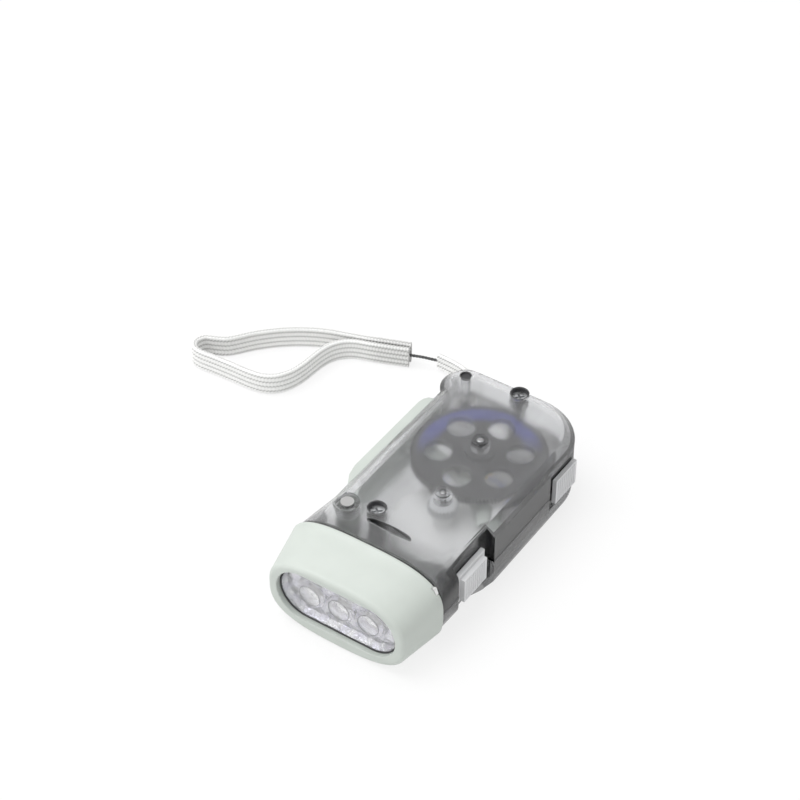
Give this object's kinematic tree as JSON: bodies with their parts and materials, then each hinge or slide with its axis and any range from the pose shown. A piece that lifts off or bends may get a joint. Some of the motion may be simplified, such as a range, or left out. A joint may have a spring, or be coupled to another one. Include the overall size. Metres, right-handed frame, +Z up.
{
  "type": "hand-press dynamo flashlight",
  "caption": "Palm-sized flashlight with a squeeze lever that spins a geared dynamo inside a smoky clear case, a row of lamps behind a wide lens, a lamp slide, a lever lock and a wrist strap.",
  "frame": {"origin": "on the flat bottom face that the flashlight lies on, between the drive gear and the lamp board", "axes": "-Y is the way the beam points, +X is the side with the two slides, -X is the lever's side, +Z is up from the bottom face"},
  "size_m": [0.1372, 0.1169, 0.0274],
  "materials": {
    "smoked_shell": "clear smoky grey moulding",
    "mint_plastic": "fine matte moulding",
    "clear_lens": "clear moulded lens",
    "chromed_plastic": "vacuum-metallised",
    "lamp_resin": "clear resin",
    "board": "circuit board",
    "white_plastic": "natural white moulding",
    "steel": "drawn wire and pin",
    "dark_gear_plastic": "moulded gear",
    "brass_gear": "turned",
    "ferrite": "pressed ferrite ring",
    "plated_steel": "zinc plated",
    "copper_wire": "enamelled copper winding",
    "blue_wire": "insulated wire",
    "grey_plastic": "satin moulding",
    "black_plastic": "switch housing",
    "white_braid": "braided tape",
    "dark_cord": "thin twisted cord"
  },
  "bodies": {
    "casing": {"upper_shell": "smoked_shell", "lower_shell": "smoked_shell", "bezel": "mint_plastic", "lens": "clear_lens", "reflector": "chromed_plastic", "leds": "lamp_resin", "led_board": "board", "lamp_holder": "white_plastic", "lever_pivot_pin": "steel", "return_spring": "steel", "drive_gear_pin": "steel", "claw_plate_lower": "plated_steel", "claw_plate_upper": "plated_steel", "coil_bobbin": "white_plastic", "coil_winding": "copper_wire", "lead_wires": "blue_wire", "switch_block": "black_plastic", "case_screws": "plated_steel", "strap_tab": "white_braid", "strap_link": "dark_cord", "strap_loop": "white_braid"},
    "lever": {"press_lever": "mint_plastic"},
    "drive": {"drive_gear": "dark_gear_plastic", "clutch_pinion": "brass_gear", "clutch_pawls": "white_plastic"},
    "rotor": {"rotor_shaft": "steel", "rotor_pinion": "white_plastic", "flywheel": "white_plastic", "ring_magnet": "ferrite"},
    "lamp_switch": {"lamp_slide": "grey_plastic"},
    "lever_lock": {"lock_slide": "grey_plastic"}
  },
  "joints": [
    {"name": "rotor_spin", "type": "hinge", "parent": "casing", "child": "rotor", "pos_m": [0.00399, -0.00267, 0.012], "axis": [0, 0, 1], "range_deg": [0, 1386.4]},
    {"name": "drive_gear_spin", "type": "hinge", "parent": "casing", "child": "drive", "pos_m": [0.001, 0.022, 0.019], "axis": [0, 0, 1], "range_deg": [-283, 0]},
    {"name": "lever_swing", "type": "hinge", "parent": "casing", "child": "lever", "pos_m": [-0.01679, -0.02096, 0.0132], "axis": [0, 0, 1], "range_deg": [0, 28], "stiffness_Nm_per_rad": 0.25, "springref_deg": 34.38, "deforming": ["return_spring"]},
    {"name": "lamp_switch_slide", "type": "slide", "parent": "casing", "child": "lamp_switch", "axis": [0, 1, 0], "range_m": [0, 0.0026]},
    {"name": "lever_lock_slide", "type": "slide", "parent": "casing", "child": "lever_lock", "axis": [0, -1, 0], "range_m": [0, 0.0028]}
  ],
  "couplings": [
    {"joint": "drive_gear_spin", "follows": "rotor_spin", "ratio": -0.20339},
    {"joint": "lever_swing", "follows": "rotor_spin", "ratio": 0.020195}
  ]
}
